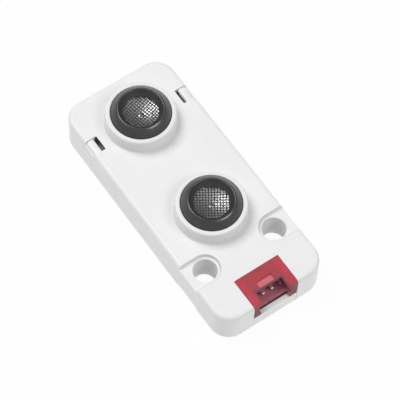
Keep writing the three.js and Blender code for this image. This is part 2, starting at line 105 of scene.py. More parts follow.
# The latches' hooks and windows, and the pocket that hangs behind each window.
HOOK_DEPTH = 0.7
WINDOW_LENGTH = 3.4
WINDOW_Y = (LATCH_Y - WINDOW_LENGTH / 2, LATCH_Y + WINDOW_LENGTH / 2)
WINDOW_INNER = 9.2
POCKET_INNER = 8.35
POCKET_OUTER = 9.4
POCKET_FLOOR = 5.6
POCKET_LIP = 0.3
POCKET_WALL = 0.3
STRIP_FACE = HALF_WIDTH - 0.3
STRIP_TOP = 7.3
SILL = 6.95

# The socket: its cavity, the notch in its roof, the cut in its floor and the recess in its roof.
CAVITY_HALF_WIDTH = 3.85
CAVITY_BACK = -22.6
CAVITY_FLOOR = 4.15
CAVITY_ROOF = 7.1
NOTCH_HALF_WIDTH = 3.0
NOTCH_BACK = -25.2
FLOOR_HALF_WIDTH = 3.3
FLOOR_FRONT = -26.8
RECESS_HALF_WIDTH = 1.7
RECESS_Y = (-25.0, -23.6)
RECESS_DEPTH = 0.3
PINS = range(1, 5)

# The wire mesh.
MESH_PITCH = 0.555
WIRE_RADIUS = 0.098
WIRE_SIDES = 6
MESH_TURN = {"transmitter": 14.4, "receiver": -33.6}

# The circuit board. What lies on it starts just below its face.
ON_BOARD = BOARD_TOP - 0.01
COPPER_TOP = BOARD_TOP + 0.025
PAD_THICKNESS = 0.045
TRACK_WIDTH = 0.3
INK_WIDTH = 0.14
INK_THICKNESS = 0.015
LEAD_PITCH = 1.27
LEAD_WIDTH = 0.4
LEAD_THICKNESS = 0.16
SMALL_PARTS = range(1, 6)

# Steps on round work, and the angle in degrees past which an edge is sharp.
CORNER_STEPS = 14
FILLET_STEPS = 7
ROUND_STEPS = 128
SHARP = 32

# The studio: lights by azimuth and elevation in degrees, distance and size in metres, and power.
FLOOR_SIZE = 1.2
FLOOR_DROP = 0.00002
FLOOR_GLOW = 0.94
WORLD_STRENGTH = 0.3
KEY_LIGHT = {"azimuth": 113, "elevation": 60, "distance": 1.5, "size": 0.85, "power": 13.6}
FILL_LIGHT = {"azimuth": -60, "elevation": 53, "distance": 0.8, "size": 0.4, "power": 1.9}

# The camera: where it stands as seen from the object, how it is rolled, and its aim.
CAMERA_AZIMUTH = -37.468
CAMERA_ELEVATION = 61.829
CAMERA_ROLL = 3.152
CAMERA_DISTANCE = 420.8
CAMERA_SHIFT = (-1.732, -1.076)
CAMERA_LENS = 193.75


# ---- Drawing solids ----

def arc(centre, radius, start, end, steps):
    """Points on an arc, with its angles in degrees."""
    points = []
    for i in range(steps + 1):
        angle = math.radians(start + (end - start) * i / steps)
        points.append((centre[0] + radius * math.cos(angle), centre[1] + radius * math.sin(angle)))
    return points


def bowed_line(start, end, bow, steps):
    """Points between two ends of a line (radius, z), bowed outwards and upwards by up to `bow`."""
    points = []
    for i in range(1, steps):
        t = i / steps
        swell = 4 * t * (1 - t)
        points.append((start[0] + (end[0] - start[0]) * t + bow[0] * swell,
                       start[1] + (end[1] - start[1]) * t + bow[1] * swell))
    return points


def rectangle(low, high, radius, steps=CORNER_STEPS):
    """An outline function: a rectangle with round corners that grows by the offset asked for."""
    def outline(offset):
        r = max(radius + offset, 0.01)
        x0, x1 = low[0] - offset + r, high[0] + offset - r
        y0, y1 = low[1] - offset + r, high[1] + offset - r
        return (arc((x1, y0), r, -90, 0, steps) + arc((x1, y1), r, 0, 90, steps)
                + arc((x0, y1), r, 90, 180, steps) + arc((x0, y0), r, 180, 270, steps))
    return outline


def case_outline(inset):
    low = (-HALF_WIDTH + inset, -HALF_LENGTH + inset)
    high = (HALF_WIDTH - inset, HALF_LENGTH - inset)
    return rectangle(low, high, CORNER_RADIUS - inset)


def hole_slot(side, radius, reach):
    """An outline function: a round-ended slot about one hole, running out to the side."""
    def outline(offset):
        r = radius + offset
        points = [(side * reach, HOLE_Y - r)]
        points += arc((side * HOLE_X, HOLE_Y), r, -90, -270 if side > 0 else 90, 4 * CORNER_STEPS)
        points.append((side * reach, HOLE_Y + r))
        return points
    return outline


def circle(centre, radius, steps):
    """An outline function: a circle."""
    def outline(offset):
        return arc(centre, radius + offset, 0, 360 - 360 / steps, steps - 1)
    return outline


def quarter(radius):
    """A rounded edge as steps (along, in): how far along the face, and how far in from it."""
    turns = [math.radians(90 * i / FILLET_STEPS) for i in range(FILLET_STEPS + 1)]
    return [(radius * (1 - math.sin(turn)), radius * (1 - math.cos(turn))) for turn in turns]


def rounded_layers(bottom, top, bottom_radius, top_radius):
    """Layers (z, offset) of a prism whose lower and upper edges are rounded off."""
    lower = [(bottom + along, -drawn_in) for along, drawn_in in reversed(quarter(bottom_radius))]
    upper = [(top - along, -drawn_in) for along, drawn_in in quarter(top_radius)]
    merged = lower + upper
    return [layer for i, layer in enumerate(merged) if i == 0 or layer != merged[i - 1]]


def flared_layers(floor, face, lip, beyond=1.0):
    """Layers of a cutter that sinks from a face at `face` to `floor` and rounds off the edge it
    leaves there. A floor above the face cuts upwards."""
    way = 1 if face > floor else -1
    flare = [(face - way * along, spread) for along, spread in quarter(lip)]
    return [(floor, 0.0)] + flare + [(face + way * beyond, lip)]


def object_from(bm):
    bmesh.ops.recalc_face_normals(bm, faces=bm.faces)
    mesh = bpy.data.meshes.new("solid")
    bm.to_mesh(mesh)
    bm.free()
    body = bpy.data.objects.new("solid", mesh)
    bpy.context.scene.collection.objects.link(body)
    return body


def add_skin(bm, rings):
    """A closed skin through a row of rings of points, with a face over each end."""
    rings = [[bm.verts.new(point) for point in ring] for ring in rings]
    for first, second in zip(rings, rings[1:]):
        for i in range(len(first)):
            j = (i + 1) % len(first)
            bm.faces.new((first[i], first[j], second[j], second[i]))
    bm.faces.new(list(reversed(rings[0])))
    bm.faces.new(rings[-1])


def solid_through(rings):
    bm = bmesh.new()
    add_skin(bm, rings)
    return object_from(bm)


def slab(outline, layers):
    """A closed solid through one outline at each layer (z, offset)."""
    return solid_through([[(x, y, z) for x, y in outline(offset)] for z, offset in layers])


def block(x, y, z):
    """A box between two limits along each axis, in either order."""
    low = (min(x), min(y))
    high = (max(x), max(y))

    def outline(offset):
        return [low, (high[0], low[1]), high, (low[0], high[1])]
    return slab(outline, [(min(z), 0), (max(z), 0)])


def turned(profile, centre, steps=ROUND_STEPS):
    """A turned solid. The profile [(radius, z)] starts and ends on the axis or closes on itself."""
    bm = bmesh.new()
    rings = []
    for radius, z in profile:
        if radius == 0:
            rings.append([bm.verts.new((centre[0], centre[1], z))])
            continue
        points = arc(centre, radius, 0, 360 - 360 / steps, steps - 1)
        rings.append([bm.verts.new((x, y, z)) for x, y in points])
    pairs = list(zip(rings, rings[1:]))
    if profile[0][0] > 0:
        pairs.append((rings[-1], rings[0]))
    for lower, upper in pairs:
        for i in range(steps):
            j = (i + 1) % steps
            corners = [lower[i % len(lower)], lower[j % len(lower)]]
            corners += [upper[j % len(upper)], upper[i % len(upper)]]
            distinct = list(dict.fromkeys(corners))
            if len(distinct) > 2:
                bm.faces.new(distinct)
    return object_from(bm)


def combined(body, tool, operation="DIFFERENCE"):
    """Joins or cuts body with tool, and uses the tool up."""
    modifier = body.modifiers.new("combine", "BOOLEAN")
    modifier.operation = operation
    modifier.solver = "EXACT"
    modifier.object = tool
    graph = bpy.context.evaluated_depsgraph_get()
    mesh = bpy.data.meshes.new_from_object(body.evaluated_get(graph))
    body.modifiers.clear()
    body.data = mesh
    bpy.data.objects.remove(tool, do_unlink=True)
    return body


def joined(bodies):
    """Several solids that don't overlap, as one mesh."""
    bm = bmesh.new()
    for body in bodies:
        bm.from_mesh(body.data)
        bpy.data.objects.remove(body, do_unlink=True)
    return object_from(bm)


def bends(points):
    """Each point of a path, with the way into it and the way halfway between in and out."""
    path = [Vector(point) for point in points]
    ways = [(after - before).normalized() for before, after in zip(path, path[1:])]
    into, out = ways[:1] + ways, ways + ways[-1:]
    return [(here, a, (a + b).normalized()) for here, a, b in zip(path, into, out)]


def ribbon(points, width, low, high):
    """A flat strip along a path of points, with mitred bends."""
    rings = []
    for here, into, way in bends(points):
        across = Vector((-way.y, way.x)) * width / 2 / way.dot(into)
        left, right = here - across, here + across
        rings.append([(left.x, left.y, low), (right.x, right.y, low),
                      (right.x, right.y, high), (left.x, left.y, high)])
    return solid_through(rings)


# ---- Finishing pieces ----

def soften(body, edge, sharp):
    """Shading that keeps flat faces flat, after a small bevel on sharp edges if one is asked for."""
    if edge:
        bevel = body.modifiers.new("edge", "BEVEL")
        bevel.width = edge * MM
        bevel.segments = 3
        bevel.limit_method = "ANGLE"
        bevel.angle_limit = math.radians(sharp)
    weighted = body.modifiers.new("normals", "WEIGHTED_NORMAL")
    weighted.keep_sharp = True
    weighted.weight = 80


def clad(body, material):
    body.data.materials.clear()
    body.data.materials.append(material)


def finished(body, name, material, rides_on, stands_for=(), sharp=SHARP, edge=0.0):
    """Turns a drawn solid into a named piece in metres, on its CAD body."""
    body.name = name
    body.data.name = name
    body.data.transform(Matrix.Scale(MM, 4))
    clad(body, material)
    body.data.shade_smooth()
    if not edge:
        body.data.set_sharp_from_angle(angle=math.radians(sharp))
    soften(body, edge, sharp)
    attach(body, rides_on)
    if stands_for:
        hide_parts(*stands_for)


def refine(node, material, edge=0.0):
    """A CAD node whose shape is right, with its flat faces cleaned up, its edges softened and
    a finer material."""
    body = frame["nodes"][node]
    clad(body, material)
    weld = body.modifiers.new("weld", "WELD")
    weld.merge_threshold = 1e-7
    flat = body.modifiers.new("flat", "DECIMATE")
    flat.decimate_type = "DISSOLVE"
    flat.angle_limit = math.radians(0.5)
    soften(body, edge, SHARP)


# ---- Material nodes ----

def new_material(name, colour, roughness, metallic=0.0, **sockets):
    material = bpy.data.materials.new(name)
    material.use_nodes = True
    shader = material.node_tree.nodes["Principled BSDF"]
    shader.inputs["Base Color"].default_value = (*colour, 1)
    shader.inputs["Roughness"].default_value = roughness
    shader.inputs["Metallic"].default_value = metallic
    for socket, value in sockets.items():
        shader.inputs[socket.replace("_", " ")].default_value = value
    return material


def shader_input(material, name):
    return material.node_tree.nodes["Principled BSDF"].inputs[name]


def add_node(material, kind, **values):
    node = material.node_tree.nodes.new(kind)
    for key, value in values.items():
        if key in node.inputs:
            node.inputs[key].default_value = value
        else:
            setattr(node, key, value)
    return node


def link(material, source, target):
    material.node_tree.links.new(source, target)


def place(material):
    """The piece's own coordinates, in metres."""
    return add_node(material, "ShaderNodeTexCoord").outputs["Object"]


def coordinate(material, axis):
    """The place along one axis, in metres."""
    split = add_node(material, "ShaderNodeSeparateXYZ")
    link(material, place(material), split.inputs["Vector"])
    return split.outputs[axis]


def math_of(material, operation, *values):
    """A math node fed by sockets and plain numbers."""
    node = add_node(material, "ShaderNodeMath", operation=operation)
    for socket, value in zip(node.inputs, values):
        if isinstance(value, float):
            socket.default_value = value
        else:
            link(material, value, socket)
    return node.outputs["Value"]


def inside_box(material, low, high):
    """1 where a point lies between two corners given in millimetres, and 0 elsewhere."""
    within = []
    for axis, start, end in zip("XYZ", low, high):
        middle, half = (start + end) / 2 * MM, (end - start) / 2 * MM
        within.append(math_of(material, "COMPARE", coordinate(material, axis), middle, half))
    flat = math_of(material, "MULTIPLY", within[0], within[1])
    return math_of(material, "MULTIPLY", flat, within[2])


def away(material, axis, start, end):
    """Rises smoothly from 0 to 1 as a point's place along one axis goes from start to end in
    millimetres. Along X it is the distance from the middle that counts."""
    value = coordinate(material, axis)
    if axis == "X":
        value = math_of(material, "ABSOLUTE", value)
    reach = add_node(material, "ShaderNodeMapRange", interpolation_type="SMOOTHSTEP")
    reach.inputs["From Min"].default_value = start * MM
    reach.inputs["From Max"].default_value = end * MM
    link(material, value, reach.inputs["Value"])
    return reach.outputs["Result"]


def noise(material, grain_mm, detail):
    """Noise whose grain is about this many millimetres across."""
    texture = add_node(material, "ShaderNodeTexNoise", Scale=1 / (grain_mm * MM), Detail=detail)
    link(material, place(material), texture.inputs["Vector"])
    return texture.outputs["Fac"]


def ramp(material, factor, low, high):
    """Runs from colour low to colour high over the middle of the factor's range."""
    node = add_node(material, "ShaderNodeValToRGB")
    stops = node.color_ramp.elements
    stops[0].position, stops[1].position = 0.3, 0.7
    stops[0].color, stops[1].color = (*low, 1), (*high, 1)
    link(material, factor, node.inputs["Fac"])
    return node.outputs["Color"]


def mixed(material, factor, first, second):
    """Blends two colours, each a socket or a fixed value, by the factor."""
    mix = add_node(material, "ShaderNodeMix", data_type="RGBA")
    link(material, factor, mix.inputs[0])
    for socket, colour in ((mix.inputs[6], first), (mix.inputs[7], second)):
        if isinstance(colour, tuple):
            socket.default_value = (*colour, 1)
        else:
            link(material, colour, socket)
    return mix.outputs[2]


def grey(value):
    return (value, value, value)


def add_bump(material, height, strength, depth_mm):
    bump = add_node(material, "ShaderNodeBump", Strength=strength, Distance=depth_mm * MM)
    link(material, height, bump.inputs["Height"])
    link(material, bump.outputs["Normal"], shader_input(material, "Normal"))


def vary(material, colour_low, colour_high, rough_low, rough_high, grain_mm):
    """Slow variation of colour and roughness over the surface."""
    slow = noise(material, grain_mm, 3.0)
    link(material, ramp(material, slow, colour_low, colour_high), shader_input(material, "Base Color"))
    rough = ramp(material, noise(material, grain_mm / 3, 3.0), grey(rough_low), grey(rough_high))
    link(material, rough, shader_input(material, "Roughness"))


# ---- Materials ----

def in_bores(material):
    """1 on the walls of the two bores, where shade is painted."""
    reach = HOLE_RADIUS + 0.02
    bores = []
    for x in (-HOLE_X, HOLE_X):
        low = (x - reach, HOLE_Y - reach, SINK_BACK + BORE_LIP)
        high = (x + reach, HOLE_Y + reach, SINK_FRONT - BORE_LIP)
        bores.append(inside_box(material, low, high))
    return math_of(material, "ADD", *bores)


def in_pockets(material):
    """1 in the pockets behind the two latch windows, where shade is painted."""
    skin = 0.05
    pockets = []
    for side in SIDES:
        x = sorted((side * (POCKET_INNER - skin), side * (POCKET_OUTER + 2 * skin)))
        low = (x[0], WINDOW_Y[0] - skin, POCKET_FLOOR - 2 * skin)
        high = (x[1], WINDOW_Y[1] + skin, FRONT - POCKET_LIP + skin)
        pockets.append(inside_box(material, low, high))
    return math_of(material, "ADD", *pockets)


def white_plastic():
    """Satin white ABS with a fine spark-eroded grain. Shade is painted into its colour: the bores grow
    darker towards their back, and the pockets behind the latch windows are dark all over."""
    material = new_material("moulded_white", grey(0.84), 0.42, Subsurface_Weight=0.12,
                            Subsurface_Radius=(1.0, 1.0, 1.0), Subsurface_Scale=0.0005)
    vary(material, grey(0.83), grey(0.85), 0.38, 0.48, 6.0)
    add_bump(material, noise(material, 0.11, 3.0), 0.12, 0.012)
    colour = shader_input(material, "Base Color")
    clean = colour.links[0].from_socket
    # Painted shade: the bores grow darker towards their back.
    bore_shade = away(material, "Z", SINK_FRONT + 0.6, SINK_BACK)
    bore_shade = math_of(material, "MULTIPLY", in_bores(material), bore_shade)
    shaded = mixed(material, bore_shade, clean, grey(0.56))
    # Painted shade: the pockets behind the latch windows are dark all over.
    link(material, mixed(material, in_pockets(material), shaded, grey(0.33)), colour)
    return material


def red_plastic():
    """Translucent red nylon, with shade painted into its colour: darker over the hollow of the cavity and
    round the notch, a greyer, pinker red inside the cavity, and dark on the mouth's face. The recess in the
    roof is frosted, and painted light makes it paler there."""
    material = new_material("red_nylon", (0.46, 0.04, 0.06), 0.3, Subsurface_Weight=0.5,
                            Subsurface_Radius=(1.0, 0.3, 0.3), Subsurface_Scale=0.0006,
                            Specular_IOR_Level=0.1)
    grain = noise(material, 3.0, 2.0)
    # Painted shade: hollow is a darker copy of the red, for the roof over the hollow of the cavity.
    solid = ramp(material, grain, (0.52, 0.066, 0.092), (0.56, 0.074, 0.1))
    hollow = ramp(material, grain, (0.42, 0.068, 0.088), (0.46, 0.076, 0.096))
    outer_fade, inner_fade = 0.35, 0.9
    over_cavity = away(material, "X", CAVITY_HALF_WIDTH + outer_fade, CAVITY_HALF_WIDTH - inner_fade)
    body = mixed(material, over_cavity, solid, hollow)

    # Painted shade round the notch.
    halo_x, halo_y = 0.7, 0.8
    beside_notch = away(material, "X", NOTCH_HALF_WIDTH + halo_x, NOTCH_HALF_WIDTH)
    before_back = away(material, "Y", NOTCH_BACK + halo_y, NOTCH_BACK)
    notch_shade = math_of(material, "MULTIPLY", beside_notch, before_back)
    body = mixed(material, notch_shade, body, (0.3, 0.085, 0.11))

    skin = 0.05
    cavity_low = (-CAVITY_HALF_WIDTH - skin, SOCKET_LOW.y, CAVITY_FLOOR - skin)
    cavity_high = (CAVITY_HALF_WIDTH + skin, CAVITY_BACK + skin, CAVITY_ROOF + skin)
    # Painted shade inside the cavity, as a greyer, pinker red.
    cavity_shade = ramp(material, noise(material, 0.6, 3.0), (0.5, 0.19, 0.24), (0.56, 0.22, 0.27))
    body = mixed(material, inside_box(material, cavity_low, cavity_high), body, cavity_shade)

    # Painted shade: the mouth's face is dark.
    mouth_low = (-SOCKET_HIGH.x, SOCKET_LOW.y - 0.1, 0)
    mouth_high = (SOCKET_HIGH.x, SOCKET_LOW.y + 0.02, SOCKET_HIGH.z - 0.12)
    body = mixed(material, inside_box(material, mouth_low, mouth_high), body, (0.19, 0.03, 0.048))

    skin = 0.03
    recess_floor = SOCKET_HIGH.z - RECESS_DEPTH
    recess_low = (-RECESS_HALF_WIDTH - skin, RECESS_Y[0] - skin, recess_floor - 0.1)
    recess_high = (RECESS_HALF_WIDTH + skin, RECESS_Y[1] + skin, recess_floor + 0.1)
    # The recess is frosted, so it is rougher, and painted light makes its colour paler.
    frosted = inside_box(material, recess_low, recess_high)
    recess_light = ramp(material, noise(material, 0.25, 3.0), (0.62, 0.17, 0.2), (0.68, 0.2, 0.23))
    link(material, mixed(material, frosted, body, recess_light), shader_input(material, "Base Color"))
    plain = ramp(material, noise(material, 2.5, 1.0), grey(0.28), grey(0.33))
    link(material, mixed(material, frosted, plain, grey(0.6)), shader_input(material, "Roughness"))
    return material


def end_caps(name, body_low, body_high, middle, half):
    """A fired body with tinned end caps. The body lies within `half` of `middle` along X, on
    either side of the board."""
    material = new_material(name, body_high, 0.45)
    off_middle = math_of(material, "ABSOLUTE", coordinate(material, "X"))
    in_body = math_of(material, "COMPARE", off_middle, middle * MM, half * MM)
    grain = noise(material, 0.3, 4.0)
    tin = ramp(material, grain, (0.62, 0.61, 0.59), (0.78, 0.77, 0.75))
    fired = ramp(material, grain, body_low, body_high)
    link(material, mixed(material, in_body, tin, fired), shader_input(material, "Base Color"))
    link(material, mixed(material, in_body, grey(1.0), grey(0.0)), shader_input(material, "Metallic"))
    rough = ramp(material, noise(material, 0.2, 3.0), grey(0.3), grey(0.45))
    link(material, rough, shader_input(material, "Roughness"))
    add_bump(material, noise(material, 0.12, 4.0), 0.15, 0.008)
    return material


def black_anodised():
    """Glossy black anodised aluminium with a faint grain and a burnished lip."""
    lip_height = 0.16
    material = new_material("black_anodised", grey(0.04), 0.34, Specular_IOR_Level=1.0)
    vary(material, grey(0.035), grey(0.045), 0.32, 0.38, 1.6)
    rough = shader_input(material, "Roughness")
    satin = rough.links[0].from_socket
    lip = inside_box(material, (-CAN_RADIUS, -HALF_LENGTH, CAN_TOP - lip_height),
                     (CAN_RADIUS, HALF_LENGTH, CAN_TOP + lip_height))
    link(material, mixed(material, lip, satin, grey(0.23)), rough)
    add_bump(material, noise(material, 0.35, 4.0), 0.1, 0.004)
    return material


def black_wire():
    material = new_material("black_wire", grey(0.04), 0.5, Specular_IOR_Level=0.6)
    vary(material, grey(0.032), grey(0.05), 0.45, 0.6, 0.5)
    return material


def bright_metal(name, low, high, rough_low, rough_high):
    material = new_material(name, high, rough_low, 1.0)
    vary(material, low, high, rough_low, rough_high, 0.9)
    add_bump(material, noise(material, 0.15, 3.0), 0.15, 0.006)
    return material


def plain_grain(name, low, high, rough_low, rough_high, grain_mm=0.25):
    """A matt moulded, fired or printed surface with a fine grain."""
    material = new_material(name, high, rough_low)
    vary(material, low, high, rough_low, rough_high, 4 * grain_mm)
    add_bump(material, noise(material, grain_mm, 4.0), 0.2, 0.01)
    return material


WHITE = white_plastic()
RED = red_plastic()
BLACK_CAN = black_anodised()
WIRE = black_wire()
ALUMINIUM = bright_metal("drawn_aluminium", grey(0.88), grey(0.95), 0.38, 0.46)
TIN = bright_metal("tinned_pin", (0.84, 0.83, 0.81), (0.92, 0.91, 0.89), 0.32, 0.42)
BRASS = bright_metal("rolled_brass", (0.62, 0.45, 0.2), (0.75, 0.56, 0.27), 0.22, 0.34)
CERAMIC = plain_grain("piezo_ceramic", (0.5, 0.48, 0.42), (0.6, 0.58, 0.52), 0.4, 0.6)
BLACK_MOULDING = plain_grain("black_moulding", (0.018, 0.018, 0.019), (0.035, 0.035, 0.036), 0.4, 0.55)
BOARD = plain_grain("solder_mask", (0.012, 0.015, 0.016), (0.022, 0.026, 0.028), 0.22, 0.34, 0.6)
EPOXY = plain_grain("chip_epoxy", (0.012, 0.012, 0.013), (0.024, 0.024, 0.025), 0.45, 0.6, 0.12)
TRACK = plain_grain("masked_track", (0.02, 0.026, 0.028), (0.032, 0.04, 0.042), 0.2, 0.3, 0.5)
INK = plain_grain("marking_ink", (0.62, 0.62, 0.6), (0.75, 0.75, 0.73), 0.5, 0.65, 0.15)
TAN = end_caps("capacitor_ceramic", (0.34, 0.22, 0.12), (0.45, 0.31, 0.18),
               node_middle("capacitor_1").x, 0.48)
GLAZE = end_caps("resistor_glaze", (0.012, 0.013, 0.016), (0.03, 0.031, 0.035),
                 -node_middle("resistor_1").x, 0.5)


# ---- Case ----

def boss(y):
    foot = 0.35
    rim = 0.42
    foot_arc = arc((BOSS_RADIUS + foot, FRONT + foot), foot, 270, 183, 8)
    rim_arc = arc((BOSS_RIM_RADIUS - rim, BOSS_TOP - rim), rim, 2, 90, 10)
    base = [(0, FRONT - ROOF / 2), (BOSS_RADIUS + foot, FRONT - ROOF / 2)]
    return turned(base + foot_arc + rim_arc + [(0, BOSS_TOP)], (0, y))


def boss_bore(y):
    radius = CAN_RADIUS + FIT_GAP
    lip = 0.16
    lip_arc = arc((radius + lip, BOSS_TOP - lip), lip, 180, 90, 6)
    low = FRONT - 2 * ROOF
    profile = [(0, low), (radius, low)] + lip_arc
    return turned(profile + [(radius + lip, BOSS_TOP + 1), (0, BOSS_TOP + 1)], (0, y))


def hole_pillar(side):
    outline = hole_slot(side, SLEEVE_RADIUS, HALF_WIDTH - WALL / 2)
    return slab(outline, [(0, 0), (FRONT - ROOF / 2, 0)])


def sink_cut(side, floor, face):
    """The slot sunk about one hole, with a filleted foot and a rounded edge."""
    way = 1 if face > floor else -1
    foot = 0.5
    lip = 0.2
    fillet = [(floor + way * along, -drawn_in) for drawn_in, along in quarter(foot)]
    return slab(hole_slot(side, SINK_RADIUS, HALF_WIDTH + 1), fillet + flared_layers(floor, face, lip)[1:])


def hole_bore(side):
    """The bore, with the edge at each seat broken."""
    low = list(reversed(flared_layers(FRONT / 2, SINK_BACK, BORE_LIP, beyond=2.0)))
    high = flared_layers(FRONT / 2, SINK_FRONT, BORE_LIP, beyond=2.0)[1:]
    return slab(circle((side * HOLE_X, HOLE_Y), HOLE_RADIUS, steps=96), low + high)


def window_pocket(side):
    """The small pocket that hangs under the roof behind one latch window."""
    x = (side * (POCKET_INNER - POCKET_WALL), side * POCKET_OUTER)
    y = (WINDOW_Y[0] - POCKET_WALL, WINDOW_Y[1] + POCKET_WALL)
    return block(x, y, (POCKET_FLOOR - POCKET_WALL, FRONT - ROOF / 2))


def window_outline(side, outer, radius, steps):
    """A round-cornered outline from the window's inner edge out to `outer`."""
    x = sorted((side * WINDOW_INNER, side * outer))
    return rectangle((x[0], WINDOW_Y[0]), (x[1], WINDOW_Y[1]), radius, steps)


def window_cuts(side):
    """The cuts of one latch window: the well through the roof, the hollow under the window's
    inner edge, the hook's pocket, the lowered strip and the slot for the arm."""
    outer = LATCH_HIGH.x - HOOK_DEPTH + FIT_GAP
    slot_width = 0.9
    overlap = 0.2
    well_top = FRONT - POCKET_LIP
    hollow = (side * POCKET_INNER, side * (outer - overlap))
    strip = (side * (STRIP_FACE - overlap), side * (HALF_WIDTH + 1))
    arm_slot = (side * (outer - slot_width), side * outer)
    return [
        slab(window_outline(side, outer, radius=0.12, steps=4), [(POCKET_FLOOR, 0), (well_top, 0)]),
        block(hollow, WINDOW_Y, (POCKET_FLOOR, well_top)),
        slab(window_outline(side, STRIP_FACE, radius=0.2, steps=5), flared_layers(SILL, FRONT, lip=0.08)),
        block(strip, WINDOW_Y, (STRIP_TOP, FRONT + 1)),
        block(arm_slot, WINDOW_Y, (-1, FRONT - ROOF + overlap)),
    ]


def cover():
    """The top shell and its two hole sleeves, which are one moulding."""
    body = slab(case_outline(0), rounded_layers(0, FRONT, BACK_FILLET, FRONT_FILLET))
    inside = rounded_layers(-1, FRONT - ROOF, bottom_radius=0.01, top_radius=0.3)
    body = combined(body, slab(case_outline(WALL), inside))
    for y in TRANSDUCERS.values():
        body = combined(body, boss(y), "UNION")
        body = combined(body, boss_bore(y))
    for side in SIDES:
        body = combined(body, hole_pillar(side), "UNION")
        body = combined(body, sink_cut(side, SINK_FRONT, FRONT))
        body = combined(body, sink_cut(side, SINK_BACK, 0))
        body = combined(body, hole_bore(side))
        body = combined(body, window_pocket(side), "UNION")
        for cut in window_cuts(side):
            body = combined(body, cut)
    x = SOCKET_HIGH.x + FIT_GAP
    y = SOCKET_HIGH.y + 1.5 * FIT_GAP
    opening = rectangle((-x, -HALF_LENGTH - 2), (x, y), radius=0.15, steps=5)
    body = combined(body, slab(opening, [(-1, 0)] + flared_layers(FRONT / 2, FRONT, lip=0.1)[1:]))
    stands_for = ("top_shell", "hole_sleeve_left", "hole_sleeve_right")
    finished(body, "cover", WHITE, "cover", stands_for)


def latch(side, name):
    """A latch arm with a pillow-like hook: its top falls away outwards, and its edges and both
    ends are well rounded."""
    arm_face = LATCH_HIGH.x - HOOK_DEPTH
    head_x = LATCH_LOW.x - 0.1
    outer_x = STRIP_FACE - 0.04
    hook_bottom = SILL + 0.05
    hook_height = LATCH_HIGH.z - hook_bottom
    outer_width, outer_drop = 1.0, 0.5
    inner_round = 0.5
    profile = [(LATCH_LOW.x, LATCH_LOW.z), (arm_face, LATCH_LOW.z), (arm_face, hook_bottom)]
    profile.append((outer_x, hook_bottom))
    profile += [(outer_x - outer_width * (1 - c), LATCH_HIGH.z - outer_drop * (1 - s))
                for c, s in arc((0, 0), 1, 0, 90, 12)]
    profile += arc((head_x + inner_round, LATCH_HIGH.z - inner_round), inner_round, 90, 180, 6)
    profile += [(head_x, hook_bottom), (LATCH_LOW.x, hook_bottom - 0.5)]

    end_reach = 0.13
    end_round = 0.12
    outer_draw = 1.7
    low, high = LATCH_LOW.y - end_reach, LATCH_HIGH.y + end_reach
    places = [(low + along, drop) for drop, along in quarter(end_round)]
    places += [(high - along, drop) for drop, along in reversed(quarter(end_round))]
    rings = []
    for y, drop in places:
        ring = []
        for x, z in profile:
            sunk = drop * max(0.0, (z - hook_bottom) / hook_height)
            drawn_in = outer_draw * drop * max(0.0, (x - arm_face) / (outer_x - arm_face))
            ring.append((side * (x - drawn_in), y, z - sunk))
        rings.append(ring)
    finished(solid_through(rings), f"latch_arm_{name}", WHITE, f"latch_{name}_arm", (f"latch_{name}",),
             sharp=40)


# ---- Transducers ----

def can(name, y):
    """The can, with its conical shoulder, its raised lip and the funnel round the mesh."""
    bulge = 0.04
    steps = 16
    lip_radius = 4.65
    lip_round = 0.15
    mouth_radius = 3.5
    mouth_top = 11.4
    mouth_edge = 0.06
    seat_radius = 4.4
    seat_z = 11.25
    inside = CAN_RADIUS - 0.5
    chamfer = 0.1
    profile = [(inside, CAN_BOTTOM), (CAN_RADIUS - chamfer, CAN_BOTTOM), (CAN_RADIUS, CAN_BOTTOM + chamfer)]
    profile += [(CAN_RADIUS, BOSS_TOP - 0.12), (CAN_RADIUS - 0.005, BOSS_TOP + 0.02)]
    profile += bowed_line((CAN_RADIUS, BOSS_TOP), (lip_radius, CAN_TOP), (bulge, bulge), steps)
    profile += arc((lip_radius - lip_round, CAN_TOP - lip_round), lip_round, 45, 160, 12)
    mouth = (mouth_radius + mouth_edge, mouth_top)
    profile += bowed_line(profile[-1], mouth, (0, -bulge), steps)
    profile += [mouth, (mouth_radius, mouth_top - 0.05), (mouth_radius, seat_z + 0.03)]
    profile += [(mouth_radius + 0.04, seat_z), (seat_radius, seat_z), (inside, BOSS_TOP - 0.75)]
    finished(turned(profile, (0, y)), f"{name}_shell", BLACK_CAN, "base", (f"{name}_can",),
             sharp=35)


def wire(across, half_length, phase, turn, centre, height):
    """The rings of one wire of the weave, which rises and falls over the wires it crosses."""
    steps = max(6, 2 * round(3 * half_length / MESH_PITCH))
    rotation = Matrix.Rotation(turn, 3, "Z")
    rings = []
    for i in range(steps + 1):
        along = -half_length + 2 * half_length * i / steps
        swing = math.cos(math.pi * along / MESH_PITCH + phase)
        middle = (across, height + WIRE_RADIUS * swing)
        section = arc(middle, WIRE_RADIUS, 0, 360 - 360 / WIRE_SIDES, WIRE_SIDES - 1)
        points = [rotation @ Vector((along, sideways, up)) for sideways, up in section]
        rings.append([(point.x + centre[0], point.y + centre[1], point.z) for point in points])
    return rings


def wire_mesh(name, y):
    """The woven wire disc."""
    low, high = node_box(f"{name}_mesh")
    radius = high.x - 0.1
    height = (low.z + high.z) / 2 + 0.02
    count = int(radius / MESH_PITCH)
    bm = bmesh.new()
    for crossing, set_turn in enumerate((0, 90)):
        turn = math.radians(MESH_TURN[name] + set_turn)
        for k in range(-count, count + 1):
            across = k * MESH_PITCH
            half_length = math.sqrt(radius ** 2 - across ** 2)
            add_skin(bm, wire(across, half_length, math.pi * (k + crossing), turn, (0, y), height))
    finished(object_from(bm), f"{name}_weave", WIRE, "base", (f"{name}_mesh",), sharp=50)


